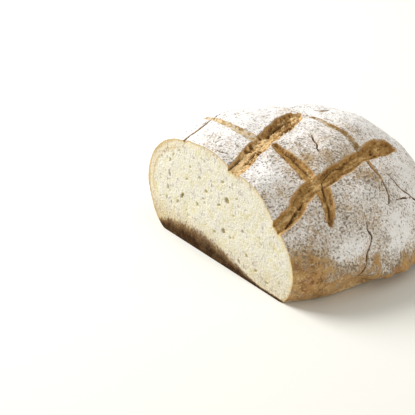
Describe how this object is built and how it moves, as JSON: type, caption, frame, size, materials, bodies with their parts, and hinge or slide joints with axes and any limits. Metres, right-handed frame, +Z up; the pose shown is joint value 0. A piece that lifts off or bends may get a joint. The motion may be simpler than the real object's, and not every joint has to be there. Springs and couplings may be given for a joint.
{
  "type": "round loaf",
  "caption": "Round country loaf of bread with a floured crust slashed in a lattice, cut across near one side so that the crumb shows.",
  "frame": {"origin": "on the surface the loaf stands on, under the middle of the loaf's bounding box", "axes": "+Z up, -Y out of the cut face, +X to the right when the cut face is looked at from the front"},
  "size_m": [0.2262, 0.195, 0.1045],
  "materials": {
    "crust": "matte browned crust dusted with white flour",
    "crumb": "matte cream crumb with fine uneven holes"
  },
  "bodies": {
    "root": {"loaf": "crust"}
  },
  "joints": []
}
